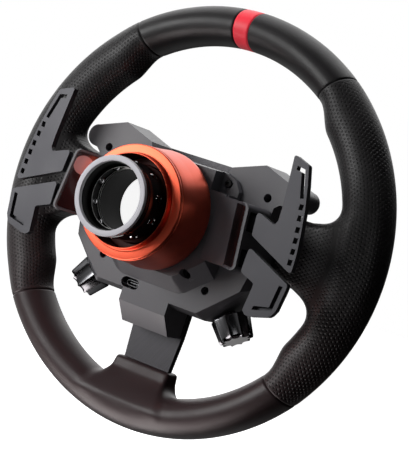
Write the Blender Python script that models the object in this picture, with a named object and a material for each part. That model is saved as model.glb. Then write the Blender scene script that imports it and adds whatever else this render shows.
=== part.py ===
"""A racing wheel for a driving simulator, as an assembly of separate parts.

A leather rim on a three-spoke aluminium plate carries a button housing, four paddles, two fluted knobs and
a quick release that locks the wheel onto its base.

Frame: metres, +Z up, the driver on the -Y side, left and right mirrored in X = 0. The origin is the centre
of the quick release's mouth. Shapes are laid out from the rim's middle plane, in millimetres; the empty
"wheel" carries them all to that origin.
"""

import math

import bmesh
import bpy
from mathutils import Matrix, Vector

MM = 0.001
GAP = 0.3  # clearance between parts that touch

# Rim, seen along its axis. The grips are wider than the smooth sections and have the same outer radius.
RIM_OUTER = 150.0
SMOOTH_HALF_WIDTH, SMOOTH_HALF_DEPTH = 13.7, 18.0
GRIP_HALF_WIDTH, GRIP_HALF_DEPTH = 17.6, 17.6
GRIP_TOP, GRIP_BOTTOM = 56.0, -40.0  # degrees above the horizontal
GRIP_BLEND = 11.0
STRIPE_HALF_ANGLE = 2.6
SEAM = 0.13  # half of the gap between two leather sections, in degrees

# Aluminium frame: a plate with three spokes and the ring inside the rim.
PLATE_FRONT, PLATE_BACK = -9.0, -4.0
CORE_INNER, CORE_OUTER = 130.0, 141.5
CORE_FRONT, CORE_BACK = -9.5, 6.0

# Depths of the casings.
FRONT_FACE, FACEPLATE_BACK, FRONT_REAR = -28.5, -26.3, PLATE_FRONT - GAP
COVER_FRONT, COVER_CHAMFER, COVER_BACK = PLATE_BACK + GAP, 19.0, 26.0
MODULE_FOOT, MODULE_TOP, BOX_TOP = COVER_BACK + GAP, 41.5, 56.0
WALL = 2.5

# Quick release.
MOUTH = 106.4  # from the rim's middle plane to the end ring's face
RING_RADIUS, RING_BORE, SLEEVE_RADIUS, SLEEVE_BORE = 26.2, 22.3, 25.6, 22.0
HUB_RADIUS, HUB_FLANGE_RADIUS, SOCKET_FLOOR, HUB_TOP = 30.7, 34.8, 56.0, 70.0
SPRING_LOW, SPRING_HIGH, SPRING_RADIUS = 43.0, 56.8, 33.0
COLLAR_FACE, COLLAR_END, COLLAR_RADIUS, COLLAR_BASE_RADIUS = 81.4, 45.5, 37.9, 40.2
COLLAR_LIP, COLLAR_LIP_RADIUS = 87.0, 31.3
BALL_COUNT, BALL_RADIUS, BALL_DEPTH = 10, 2.7, 88.0

# Paddles: plates behind the rim, each on an arm that turns on a pin inside the module's side box.
PADDLE_FRONT, PADDLE_BACK = 48.7, 53.7
PIN_X, PIN_Y, PIN_RADIUS = 62.0, 40.0, 1.5
UPPER_ARM, LOWER_ARM = (7.0, 16.5), (-16.5, -7.5)

# Middle of the charging socket in the rear casing, and the fluted knobs under the casing: a point on the
# axis near the knob's base, and its direction for +X.
USB_PLACE = (14.6, -53.4)
KNOB_BASE, KNOB_AXIS = (56.3, 3.7, -54.9), (0.623, 0.046, -0.78)
KNOB_FLUTES, KNOB_BASE_RADIUS, KNOB_END_RADIUS, KNOB_LENGTH = 10, 13.4, 11.7, 16.8

# Controls on the front: five buttons on an ellipse round the middle and a dial inside them, on each side.
BUTTON_ANGLES = (62.0, 33.0, 4.0, -26.0, -58.0)
BUTTON_ELLIPSE = (56.0, 33.0)
BUTTON_RADIUS, DIAL_PLACE, STICK_PLACE = 6.2, (31.0, 0.0), (73.0, 36.5)
STICK_PIVOT = -6.0

COVER_SCREWS = {"upper": (65.3, 30.0), "lower": (42.4, -41.0)}
RECESS_FLOOR = {"upper": 8.2, "lower": 18.3}  # the depth that the screw heads rest at
MODULE_SCREWS = {"upper": (36.5, 31.0), "lower": (31.5, -34.0)}
SIDES = {"left": -1, "right": 1}

PLATE_OUTLINE = [
    (34, 43), (57, 43.6), (61.5, 40), (61.5, 20), (68, 15.5), (134.5, 14), (134.5, -11), (68, -13),
    (61.5, -18), (61.5, -36), (44, -55), (20.3, -57.5), (20.3, -80), (18.6, -105), (18.6, -134.5),
]
FRONT_OUTLINE = [
    (36, 41.5), (58, 43), (64, 39), (64, 29.5), (71, 22), (71, -26), (69.5, -32.5), (44.5, -59.5),
    (20, -59.5),
]
WING_END_CENTRE, WING_END_RADIUS = (77.4, 35.6), 7.6
WING_END = [
    (WING_END_CENTRE[0] + WING_END_RADIUS * math.cos(math.radians(angle)),
     WING_END_CENTRE[1] + WING_END_RADIUS * math.sin(math.radians(angle)))
    for angle in range(85, -76, -16)
]
WING_CAP = [(62.3, 27.9), (62.3, 48.3)] + WING_END
WING = [(31, 38.3), (33.4, 42.4), (57, 50.3)] + WING_END + [(75, 27.7), (71.8, 25)]
COVER_FOOT = WING + [(71.8, -24.5), (70.9, -31.5), (45.5, -60.3), (23, -60.3)]
COVER_TOP = WING + [(69.4, -23.9), (67.2, -34), (41, -57.1), (23, -57.1)]
MODULE_CORE_FOOT = [(33, 37.8), (41.5, 34.5), (46.5, 28), (47, -22), (46.5, -32), (28, -47), (22.8, -49)]
MODULE_CORE_TOP = [(32, 36.8), (40, 33.5), (44, 27), (44, -22), (38, -27.5), (24.5, -38.3), (22, -38.8)]
MODULE_CORNER = [(28.6, 36.6), (32.5, 36.6), (40.6, 33.4), (45.2, 28), (45.6, 21.6), (28.6, 21.6)]
MODULE_POCKET = [(31, 24), (31, 60), (60, 60), (60, 24)]
UPPER_PADDLE = [
    (88.6, 60.3), (90, 61), (100.3, 57.2), (104, 44.8), (107.5, 30), (110, 15), (111.6, 2), (112.2, -11.5),
    (77.3, 4.2), (76, 19.9), (88.4, 15.5), (90.4, 15.1), (92, 18), (91.8, 25.7), (90.5, 41.4),
]
LOWER_PADDLE = [
    (78.4, -3.3), (111.8, -17.8), (112.4, -19), (112, -23.6), (110.3, -35.8), (108.3, -39.5),
    (106.6, -41.2), (94.2, -44.8), (90.2, -44.8), (87.5, -42.5), (89.5, -24.3), (78, -20),
]
UPPER_SLOT = [(93, 55), (98.9, 54), (104.2, 36.3), (101.6, 35.7), (97, 51.6), (93, 52.4)]
LOWER_SLOT = [(106.8, -20.2), (109.6, -20.2), (107.4, -37.2), (93.8, -40.1), (94.2, -37.6), (104.9, -35.1)]
SQUARE_HOLES = [(104.3, 30.7), (105.7, 23.7), (106.9, 16.5), (107.8, 9.7), (108.5, 2.6), (108.9, -4.4)]
PADDLE_CORNER = 2.0

# Side boxes of the module: their ends, their rounded outer corners and the windows let into them.
BOX_LOW, BOX_HIGH, BOX_CORNER = -21.2, 22.6, 4.0
WINDOW_LOW, WINDOW_HIGH, WINDOW_CORNER = -19.6, 21.0, 2.6


def clear_scene():
    for piece in list(bpy.data.objects):
        bpy.data.objects.remove(piece)


def new_material(name, colour, roughness, metallic=0.0):
    material = bpy.data.materials.new(name)
    material.use_nodes = True
    shader = material.node_tree.nodes["Principled BSDF"]
    shader.inputs["Base Color"].default_value = (*colour, 1)
    shader.inputs["Roughness"].default_value = roughness
    shader.inputs["Metallic"].default_value = metallic
    return material


clear_scene()
WHEEL = bpy.data.objects.new("wheel", None)
WHEEL.location = (0, -MOUTH * MM, 0)
bpy.context.scene.collection.objects.link(WHEEL)

LEATHER = new_material("black_leather", (0.018, 0.016, 0.017), 0.45)
RED_LEATHER = new_material("red_leather", (0.65, 0.02, 0.04), 0.45)
PLASTIC = new_material("dark_grey_plastic", (0.075, 0.075, 0.08), 0.45)
PADDLE_METAL = new_material("paddle_aluminium", (0.07, 0.07, 0.078), 0.4, 0.6)
FRAME_METAL = new_material("frame_aluminium", (0.06, 0.06, 0.065), 0.4, 0.9)
GLOSS_BLACK = new_material("gloss_black", (0.01, 0.01, 0.011), 0.12)
ORANGE = new_material("orange_anodised", (0.8, 0.16, 0.05), 0.3, 1.0)
GREY = new_material("grey_ring", (0.25, 0.25, 0.28), 0.5, 0.5)
STEEL = new_material("steel", (0.55, 0.55, 0.57), 0.25, 1.0)
CIRCUIT = new_material("circuit_board", (0.02, 0.09, 0.05), 0.5)
PALE = new_material("pale_plastic", (0.85, 0.85, 0.86), 0.4)
WINDOW = new_material("window", (0.05, 0.008, 0.01), 0.08)


def skin(name, rings, material=None, closed=False):
    """A solid through rings of points: walls between neighbouring rings, and flat ends unless it closes."""
    bm = bmesh.new()
    loops = [[bm.verts.new(Vector(point) * MM) for point in ring] for ring in rings]
    count = len(loops[0])
    pairs = list(zip(loops, loops[1:])) + ([(loops[-1], loops[0])] if closed else [])
    for near, far in pairs:
        for i in range(count):
            j = (i + 1) % count
            bm.faces.new((near[i], near[j], far[j], far[i]))
    if not closed:
        bm.faces.new(loops[0])
        bm.faces.new(loops[-1])
    bmesh.ops.connect_verts_nonplanar(bm, angle_limit=0.003, faces=bm.faces)
    bmesh.ops.recalc_face_normals(bm, faces=bm.faces)
    mesh = bpy.data.meshes.new(name)
    bm.to_mesh(mesh)
    bm.free()
    mesh.shade_smooth()
    mesh.set_sharp_from_angle(angle=math.radians(35))
    if material:
        mesh.materials.append(material)
    piece = bpy.data.objects.new(name, mesh)
    piece.parent = WHEEL
    bpy.context.scene.collection.objects.link(piece)
    return piece


def mirrored(points, side):
    return [(side * x, z) for x, z in points]


def rectangle(left, right, low, high):
    return [(left, low), (right, low), (right, high), (left, high)]


def whole(half):
    """The full outline of a shape given by its right half, top to bottom."""
    return half + mirrored(half[::-1], -1)


def prism(name, outline, near, far, material=None):
    """An outline of (x, z) points drawn out along Y."""
    return skin(name, [[(x, y, z) for x, z in outline] for y in (near, far)], material)


def bar(name, section, low, high, material=None):
    """A section of (x, y) points drawn out along Z."""
    return skin(name, [[(x, y, z) for x, y in section] for z in (low, high)], material)


def turned(name, profile, material=None, at=(0, 0, 0), axis=(0, 1, 0), hollow=False, segments=36, flute=None):
    """A turned part from (radius, height) points along its axis. A hollow one's profile closes on itself."""
    rings = []
    for radius, height in profile:
        ring = []
        for step in range(segments):
            angle = 2 * math.pi * step / segments
            reach = radius - (flute(angle) if flute else 0)
            ring.append((reach * math.cos(angle), reach * math.sin(angle), height))
        rings.append(ring)
    piece = skin(name, rings, material, closed=hollow)
    piece.location = Vector(at) * MM
    piece.rotation_mode = "QUATERNION"
    piece.rotation_quaternion = Vector((0, 0, 1)).rotation_difference(Vector(axis))
    return piece


def rod(name, radius, low, high, material=None, at=(0, 0, 0), axis=(0, 1, 0), segments=16):
    return turned(name, [(radius, low), (radius, high)], material, at, axis, segments=segments)


def combine(target, tool, operation):
    """Adds a Boolean to the target and keeps the tool as a hidden guide."""
    tool.hide_render = True
    tool.display_type = "WIRE"
    tool.data.materials.clear()
    modifier = target.modifiers.new(tool.name, "BOOLEAN")
    modifier.operation = operation
    modifier.use_self = True
    modifier.object = tool
    return target


def cut(target, *tools):
    for tool in tools:
        combine(target, tool, "DIFFERENCE")
    return target


def join(target, *tools):
    for tool in tools:
        combine(target, tool, "UNION")
    return target


def rounded(outline, radius, steps=3):
    """The outline with each corner of more than 20 degrees turned into a curve."""
    points = []
    for i, corner in enumerate(outline):
        corner = Vector(corner)
        before, after = Vector(outline[i - 1]) - corner, Vector(outline[(i + 1) % len(outline)]) - corner
        turn = math.pi - before.angle(after)
        if turn < math.radians(20):
            points.append(tuple(corner))
            continue
        reach = min(radius * math.tan(turn / 2), 0.45 * before.length, 0.45 * after.length)
        start, end = corner + before.normalized() * reach, corner + after.normalized() * reach
        for step in range(steps + 1):
            t = step / steps
            points.append(tuple(start * (1 - t) ** 2 + corner * 2 * t * (1 - t) + end * t ** 2))
    return points


def inset(outline, distance):
    """The outline moved inwards, corner by corner."""
    area = sum(a[0] * b[1] - b[0] * a[1] for a, b in zip(outline, outline[1:] + outline[:1]))
    turn = 1 if area > 0 else -1
    moved = []
    for i, point in enumerate(outline):
        before = Vector(point) - Vector(outline[i - 1])
        after = Vector(outline[(i + 1) % len(outline)]) - Vector(point)
        n1 = Vector((-before.y, before.x)).normalized() * turn
        n2 = Vector((-after.y, after.x)).normalized() * turn
        mitre = (n1 + n2) / max(0.35, 1 + n1.dot(n2))
        moved.append(tuple(Vector(point) + mitre * distance))
    return moved


# ---------------------------------------------------------------- frame and rim


def core_ring(name, grow=0.0, material=None):
    low, high = CORE_INNER - grow, CORE_OUTER + grow
    front, back = CORE_FRONT - grow, CORE_BACK + grow
    profile = [(low, front), (high, front), (high, back), (low, back)]
    return turned(name, profile, material, axis=(0, 1, 0), hollow=True, segments=72)


def spoke_frame():
    frame = prism("spoke_frame", whole(PLATE_OUTLINE), PLATE_FRONT, PLATE_BACK, FRAME_METAL)
    join(frame, core_ring("frame_ring"))
    cut(frame, rod("frame_bore", 8, -12, 0))
    for side in SIDES.values():
        x, z = COVER_SCREWS["lower"]
        cut(frame, rod("frame_screw_hole", 1.7, -12, 0, at=(side * x, 0, z), segments=10))
    return frame


def spoke_clearance(name):
    """The three spokes with clearance round them, for cutting the leather."""
    return prism(name, inset(whole(PLATE_OUTLINE), -GAP), PLATE_FRONT - GAP, PLATE_BACK + GAP)


def rim_half_sizes(angle):
    """Half width and half depth of the leather at an angle from the horizontal, on either side."""
    into_grip = min(GRIP_TOP - angle, angle - GRIP_BOTTOM) / GRIP_BLEND
    share = min(1.0, max(0.0, into_grip))
    share = share * share * (3 - 2 * share)
    width = SMOOTH_HALF_WIDTH + (GRIP_HALF_WIDTH - SMOOTH_HALF_WIDTH) * share
    depth = SMOOTH_HALF_DEPTH + (GRIP_HALF_DEPTH - SMOOTH_HALF_DEPTH) * share
    return width, depth


def rim_sweep(name, start, end, material, points=16, step=6.0):
    """A leather section swept round the rim between two angles, counted anticlockwise from +X."""
    marks = [step * i for i in range(math.ceil(start / step), math.floor(end / step) + 1)]
    marks = [angle for angle in marks if min(angle - start, end - angle) > step / 3]
    rings = []
    for angle in [start, *marks, end]:
        from_side = math.degrees(math.asin(math.sin(math.radians(angle))))
        half_width, half_depth = rim_half_sizes(from_side)
        ring = []
        for k in range(points):
            turn = 2 * math.pi * k / points
            reach = RIM_OUTER - half_width + half_width * math.cos(turn)
            a = math.radians(angle)
            ring.append((reach * math.cos(a), half_depth * math.sin(turn), reach * math.sin(a)))
        rings.append(ring)
    return skin(name, rings, material)


def hollow_for_frame(wrap):
    return cut(wrap, core_ring("ring_clearance", GAP), spoke_clearance("spoke_clearance"))


def smooth_wraps():
    for word, start, end in (
        ("right", GRIP_TOP + SEAM, 90 - STRIPE_HALF_ANGLE - SEAM),
        ("left", 90 + STRIPE_HALF_ANGLE + SEAM, 180 - GRIP_TOP - SEAM),
    ):
        cut(rim_sweep(f"rim_top_wrap_{word}", start, end, LEATHER), core_ring("ring_clearance", GAP))
    stripe = rim_sweep("centre_stripe", 90 - STRIPE_HALF_ANGLE, 90 + STRIPE_HALF_ANGLE, RED_LEATHER)
    cut(stripe, core_ring("ring_clearance", GAP))


def bottom_wrap():
    """Smooth leather between the grips' lower ends, with a pocket that the bottom spoke goes into."""
    wrap = rim_sweep("rim_bottom_wrap", 180 - GRIP_BOTTOM + SEAM, 360 + GRIP_BOTTOM - SEAM, LEATHER)
    pocket = skin("spoke_pocket", [
        [(-22.5, -13, -104.3), (22.5, -13, -104.3), (22.5, 1, -104.3), (-22.5, 1, -104.3)],
        [(-25, -14.5, -117), (25, -14.5, -117), (25, 8, -117), (-25, 8, -117)],
        [(-31, -15, -131), (31, -15, -131), (31, 15.5, -131), (-31, 15.5, -131)],
    ])
    hollow_for_frame(join(wrap, pocket))


def grip_wraps():
    """Thicker leather at the sides, which runs on over the horizontal spokes up to the housing."""
    for word, side in SIDES.items():
        limits = (GRIP_BOTTOM + SEAM, GRIP_TOP - SEAM)
        if side < 0:
            limits = (180 - limits[1], 180 - limits[0])
        wrap = rim_sweep(f"grip_wrap_{word}", *limits, LEATHER)
        stations = ((72.6, 23.5, -21, 9), (92, 24, -21.5, 10), (106, 29, -29, 13), (122, 34, -38, 14.5))
        sleeve = skin("spoke_sleeve", [
            [(side * x, -depth - 3, low), (side * x, -depth - 3, high), (side * x, depth - 1, high),
             (side * x, depth - 1, low)]
            for x, high, low, depth in stations
        ])
        hollow_for_frame(join(wrap, sleeve))


# ---------------------------------------------------------------- casings


def front_controls(side):
    """(name, x, z, hole radius) of each control on one side of the front."""
    places = []
    for number, angle in enumerate(BUTTON_ANGLES, 1):
        x = BUTTON_ELLIPSE[0] * math.cos(math.radians(angle))
        z = BUTTON_ELLIPSE[1] * math.sin(math.radians(angle))
        places.append((f"button_{number}", side * x, z, BUTTON_RADIUS + 0.4))
    places.append(("dial", side * DIAL_PLACE[0], DIAL_PLACE[1], 3.6))
    return places


def front_casing():
    outline = whole(FRONT_OUTLINE)
    housing = prism("front_housing", outline, FACEPLATE_BACK + GAP, FRONT_REAR, PLASTIC)
    inside = inset(outline, WALL)
    cut(housing, prism("front_cavity", inside, FACEPLATE_BACK + GAP + WALL, FRONT_REAR + 1))
    plate = prism("front_faceplate", inset(outline, 1.2), FRONT_FACE, FACEPLATE_BACK, FRAME_METAL)
    for word, side in SIDES.items():
        cap = prism("wing_cap", mirrored(WING_CAP, side), FRONT_REAR - 1.3, COVER_FRONT - GAP)
        join(housing, cap)
        x, z = COVER_SCREWS["upper"]
        cut(housing, rod("cap_screw_hole", 1.7, -8.4, 0, at=(side * x, 0, z), segments=10))
        x, z = STICK_PLACE
        cut(housing, rod("stick_hole", 6.4, -32, 0, at=(side * x, 0, z), segments=24))
        for name, x, z, radius in front_controls(side):
            hole = {"at": (x, 0, z), "segments": 20}
            cut(housing, rod(f"{name}_hole", radius, -32, -20, **hole))
            cut(plate, rod(f"{name}_hole", radius, -32, -20, **hole))


def rear_cover():
    foot, top = whole(COVER_FOOT), whole(COVER_TOP)
    levels = ((foot, COVER_FRONT), (foot, COVER_CHAMFER), (top, COVER_BACK))
    cover = skin("rear_cover", [[(x, y, z) for x, z in ring] for ring, y in levels], PLASTIC)
    tongue = [(COVER_FRONT + 0.05, -54), (COVER_FRONT + 0.05, -80), (13.4, -80),
              (COVER_BACK - 0.05, -66.3), (COVER_BACK - 0.05, -54)]
    join(cover, skin("tongue", [[(x, y, z) for y, z in tongue] for x in (-19, 19)]))
    inner_levels = ((inset(foot, WALL), COVER_FRONT - 2), (inset(foot, WALL), COVER_CHAMFER - 1),
                    (inset(top, WALL), COVER_BACK - WALL))
    cut(cover, skin("cover_cavity", [[(x, y, z) for x, z in ring] for ring, y in inner_levels]))
    hollow = [(COVER_FRONT - 2, -53), (COVER_FRONT - 2, -77.5), (12.3, -77.5),
              (COVER_BACK - WALL - 0.2, -65.2), (COVER_BACK - WALL - 0.2, -53)]
    cut(cover, skin("tongue_cavity", [[(x, y, z) for y, z in hollow] for x in (-16.5, 16.5)]))
    for side in SIDES.values():
        for level, (x, z) in COVER_SCREWS.items():
            place, floor = {"at": (side * x, 0, z)}, RECESS_FLOOR[level]
            join(cover, rod("screw_boss", 4.7, floor - 1.5, COVER_BACK - 1.2, segments=16, **place))
            cut(cover, rod("screw_recess", 2.9, floor, 30, segments=16, **place))
            cut(cover, rod("screw_hole", 1.7, floor - 3, floor + 1, segments=10, **place))
        for x, z in MODULE_SCREWS.values():
            cut(cover, rod("module_screw_hole", 1.5, 20, 30, at=(side * x, 0, z), segments=10))
        cut(cover, rod("knob_hole", 4.0, -14, 0, at=knob_place(side), axis=knob_axis(side)))
    cut(cover, rod("hub_hole", HUB_RADIUS + 1.3, 15, 30, segments=40))
    cut(cover, prism("usb_recess", slot_outline(*USB_PLACE, 7.3, 3.6), 20, 30))


def slot_outline(x, z, half_length, half_height, steps=6):
    """A rounded slot, long in X."""
    points = []
    for end in (1, -1):
        for i in range(steps + 1):
            turn = math.pi * i / steps - math.pi / 2
            reach = half_length - half_height + half_height * math.cos(turn)
            points.append((x + end * reach, z + end * half_height * math.sin(turn)))
    return points


def corner_levels(low, high, radius, steps=4):
    """Heights from low to high, closer together where the corners at both ends are rounded."""
    rise = [radius * (1 - math.cos(math.pi / 2 * i / steps)) for i in range(steps + 1)]
    return [low + r for r in rise] + [high - r for r in reversed(rise)]


def corner_pull(z, low, high, radius):
    """How far an edge lies in from its straight line at a height, for corners of the radius at both ends."""
    short = max(0.0, radius - min(z - low, high - z))
    return radius - math.sqrt(max(0.0, radius * radius - short * short))


def box_section(z, clearance=0.0, pull=0.0):
    """Section in (x, y) of a side box: its slope and outer edge lean outwards towards the bottom."""
    lean, c = (BOX_HIGH - z) * 0.11, clearance
    edge = 70.0 + lean - c - pull
    foot = MODULE_FOOT + 0.02 - 2 * c
    return [(40, foot), (71.6 - c - pull, foot), (edge, BOX_TOP - c), (edge - 1.6 + 0.6 * c, BOX_TOP - c),
            (55 + lean, 45.6 - c), (40, 41.8 - c)]


def box_rings():
    levels = corner_levels(BOX_LOW, BOX_HIGH, BOX_CORNER)
    pulls = [corner_pull(z, BOX_LOW, BOX_HIGH, BOX_CORNER) for z in levels]
    return [[(x, y, z) for x, y in box_section(z, 0.0, pull)] for z, pull in zip(levels, pulls)]


def window_block(above, below, margin):
    """A slab with rounded corners on the side box's inner slope, from `below` under it to `above` over it."""
    rings = []
    z_low, z_high, radius = WINDOW_LOW + margin, WINDOW_HIGH - margin, WINDOW_CORNER - margin
    for z in corner_levels(z_low, z_high, radius):
        pull = corner_pull(z, z_low, z_high, radius)
        section = box_section(z)
        low, high = Vector(section[4]), Vector(section[3])
        along = (high - low).normalized()
        out = Vector((-along.y, along.x))
        start, end = low + along * (1.0 + margin), high - along * (1.0 + margin + pull)
        ring = [start - out * below, end - out * below, end + out * above, start + out * above]
        rings.append([(p.x, p.y, z) for p in ring])
    return rings


def mirror_ring(ring, side):
    return [(side * x, y, z) for x, y, z in ring]


def module_cover():
    """The raised housing round the quick release, with a side box for the paddles at each end."""
    core = [(whole(MODULE_CORE_FOOT), MODULE_FOOT), (whole(MODULE_CORE_TOP), MODULE_TOP)]
    cover = skin("paddle_module_cover", [[(x, y, z) for x, z in ring] for ring, y in core], PLASTIC)
    inner = [(inset(core[0][0], WALL), MODULE_FOOT - 1), (inset(core[1][0], WALL), MODULE_TOP - WALL)]
    for side in SIDES.values():
        join(cover, skin("side_box", [mirror_ring(ring, side) for ring in box_rings()]))
    cut(cover, skin("core_cavity", [[(x, y, z) for x, z in ring] for ring, y in inner]))
    for side in SIDES.values():
        hollow = [[(x, y, z) for x, y in box_section(z, 2.4)] for z in (-18.8, 20.2)]
        cut(cover, skin("box_cavity", [mirror_ring(ring, side) for ring in hollow]))
        join(cover, prism("corner_block", mirrored(MODULE_CORNER, side), MODULE_FOOT + 0.04,
                          MODULE_TOP - 1))
        cut(cover, prism("corner_pocket", mirrored(MODULE_POCKET, side), 30, 60))
        rib = [(side * x, y) for x, y in ((57.5, 34), (66, 34), (66, 50.8), (57.5, 44.6))]
        join(cover, bar("pin_rib", rib, -5, 5))
        cut(cover, skin("window_recess", [mirror_ring(ring, side) for ring in window_block(3, 1.5, 0)]))
        cut(cover, rod("pin_hole", PIN_RADIUS + 0.3, -6, 6, at=(side * PIN_X, PIN_Y, 0), axis=(0, 0, 1),
                       segments=12))
        for low, high in ((UPPER_ARM[0] - 1.5, UPPER_ARM[1] + 1.5), (LOWER_ARM[0] - 1.1, LOWER_ARM[1] + 1.3)):
            cut(cover, bar("arm_slot", mirrored(rectangle(68, 78, 37, 52), side), low, high))
        for word, (x, z) in MODULE_SCREWS.items():
            place = {"at": (side * x, 0, z), "segments": 16}
            if word == "lower":
                join(cover, rod("module_boss", 4.6, MODULE_FOOT + 0.1, 33, **place))
            cut(cover, rod("module_recess", 3.0, 28.6, 50, **place))
            cut(cover, rod("module_hole", 1.5, 20, 30, **place))
    cut(cover, rod("hub_bore", HUB_RADIUS + 0.5, 20, 60, segments=36))


def module_windows():
    for word, side in SIDES.items():
        rings = window_block(-0.1, 1.2, GAP)
        skin(f"module_window_{word}", [mirror_ring(ring, side) for ring in rings], WINDOW)


# ---------------------------------------------------------------- electronics


def circuit_boards():
    board = prism("main_circuit_board", whole([(59, 34), (59, -28), (42, -48)]), -15, -13.4, CIRCUIT)
    for x, z, half_x, half_z in ((0, 8, 7, 7), (-24, -16, 5, 4), (24, -16, 5, 4)):
        join(board, prism("chip", rectangle(x - half_x, x + half_x, z - half_z, z + half_z), -13.5, -12))
    for word, side in SIDES.items():
        small = mirrored(rectangle(50.5, 68, -17, 18), side)
        board = prism(f"paddle_board_{word}", small, 29.5, 31, CIRCUIT)
        for low, high in (UPPER_ARM, LOWER_ARM):
            middle = (low + high) / 2
            switch = mirrored(rectangle(54, 66, middle - 3, middle + 3), side)
            join(board, prism("switch", switch, 30.9, 34.5))


def usb_c_socket():
    x, z = USB_PLACE
    socket = prism("usb_c_socket", slot_outline(x, z, 4.9, 2.0), 13, 22.2, STEEL)
    cut(socket, prism("socket_mouth", slot_outline(x, z, 4.4, 1.5), 15, 24))
    join(socket, prism("socket_tongue", rectangle(x - 3.4, x + 3.4, z - 0.4, z + 0.4), 14.5, 20.2))


# ---------------------------------------------------------------- quick release


def quick_release():
    """Turned parts about the wheel's axis: hub, clamp ring, sleeve, end ring, collar, disc and balls."""
    hub = [(6, COVER_FRONT), (HUB_FLANGE_RADIUS, COVER_FRONT), (HUB_FLANGE_RADIUS, 2), (HUB_RADIUS, 2),
           (HUB_RADIUS, SOCKET_FLOOR), (6, SOCKET_FLOOR)]
    turned("quick_release_hub", hub, ORANGE, hollow=True)
    clamp = [(SLEEVE_RADIUS + GAP, SOCKET_FLOOR + GAP), (HUB_RADIUS, SOCKET_FLOOR + GAP),
             (HUB_RADIUS, HUB_TOP), (SLEEVE_RADIUS + GAP, HUB_TOP)]
    turned("sleeve_clamp_ring", clamp, ORANGE, hollow=True)
    sleeve = [(SLEEVE_BORE, SOCKET_FLOOR + GAP), (SLEEVE_RADIUS, SOCKET_FLOOR + GAP), (SLEEVE_RADIUS, 99),
              (SLEEVE_RADIUS - 0.6, 99.5), (SLEEVE_RADIUS - 0.6, 103.2), (SLEEVE_BORE, 103.2)]
    sleeve = turned("quick_release_sleeve", sleeve, GLOSS_BLACK, hollow=True)
    ring = [(RING_BORE, 103.5), (25.6, 103.5), (RING_RADIUS, 104.1), (RING_RADIUS, MOUTH - 0.4),
            (25.8, MOUTH), (RING_BORE, MOUTH)]
    turned("quick_release_ring", ring, GREY, hollow=True)
    lip, flare = COLLAR_LIP_RADIUS, [(32.1, 84.4), (33.4, 82.3), (35.3, COLLAR_FACE)]
    collar = [(lip - 0.9, COLLAR_LIP), (lip, COLLAR_LIP), *flare, (37.3, COLLAR_FACE),
              (COLLAR_RADIUS, COLLAR_FACE - 0.6), (38.0, 79.2),
              (37.4, 78.9), (37.4, 78.5), (38.1, 78.2), (38.9, 62), (COLLAR_BASE_RADIUS, 49),
              (COLLAR_BASE_RADIUS, COLLAR_END), (35.0, COLLAR_END), (35.0, 58), (HUB_RADIUS + GAP, 58),
              (HUB_RADIUS + GAP, 73.5), (lip - 0.9, 74.5)]
    turned("quick_release_collar", collar, ORANGE, hollow=True)
    turned("coupling_disc", [(21.2, SOCKET_FLOOR + GAP), (21.2, 58.0), (20.9, 58.3)], PALE)
    cage = turned("ball_cage", [(20.5, BALL_DEPTH - 0.7), (21.2, BALL_DEPTH - 0.7), (21.2, BALL_DEPTH + 0.7),
                                (20.5, BALL_DEPTH + 0.7)], STEEL, hollow=True)
    for i in range(BALL_COUNT):
        turn = Matrix.Rotation(2 * math.pi * (i + 0.5) / BALL_COUNT, 3, "Y")
        spoke = turn @ Vector((1, 0, 0))
        centre = spoke * 23.5 + Vector((0, BALL_DEPTH, 0))
        window = {"at": (0, BALL_DEPTH, 0), "axis": spoke, "segments": 12}
        cut(sleeve, rod("ball_window", BALL_RADIUS + 0.35, 18, 30, **window))
        profile = [(BALL_RADIUS * math.sin(a), BALL_RADIUS * math.cos(a)) for a in (2.9, 2.3, 1.6, 0.9, 0.25)]
        join(cage, turned("ball", profile, at=centre, axis=spoke, segments=10))


def collar_spring(turns=4.5, wire=0.8, sides=5, steps_per_turn=18):
    """The coil between the module's back and the collar's inner shoulder."""
    rings = []
    count = round(turns * steps_per_turn)
    for i in range(count + 1):
        angle = 2 * math.pi * i / steps_per_turn
        height = SPRING_LOW + (SPRING_HIGH - SPRING_LOW) * i / count
        ring = []
        for k in range(sides):
            around = 2 * math.pi * k / sides
            reach = SPRING_RADIUS + wire * math.cos(around)
            ring.append((reach * math.cos(angle), height + wire * math.sin(around), reach * math.sin(angle)))
        rings.append(ring)
    skin("collar_spring", rings, STEEL)


# ---------------------------------------------------------------- paddles


def paddle(name, side, outline, slot, slot_floor, arm, square_holes):
    outline = mirrored(rounded(outline, PADDLE_CORNER), side)
    plate = prism(name, outline, PADDLE_FRONT, PADDLE_BACK, PADDLE_METAL)
    link = [(58.3, 38.5), (60.5, 36.2), (64.5, 36.2), (80, 45.2), (86.5, 50.4), (77.5, 50.4), (62, 43.9),
            (59.5, 42.5)]
    join(plate, bar("paddle_arm", mirrored(link, side), *arm))
    cut(plate, prism("paddle_slot", mirrored(slot, side), slot_floor, PADDLE_BACK + 2))
    for x, z in square_holes:
        corners = [(x - 1.5, z - 2.0), (x + 1.5, z - 1.7), (x + 1.5, z + 2.0), (x - 1.5, z + 1.7)]
        cut(plate, prism("square_hole", mirrored(corners, side), PADDLE_FRONT - 2, PADDLE_BACK + 2))
    hole = {"at": (side * PIN_X, PIN_Y, 0), "axis": (0, 0, 1), "segments": 12}
    cut(plate, rod("paddle_pin_hole", PIN_RADIUS + 0.3, arm[0] - 2, arm[1] + 2, **hole))


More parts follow.
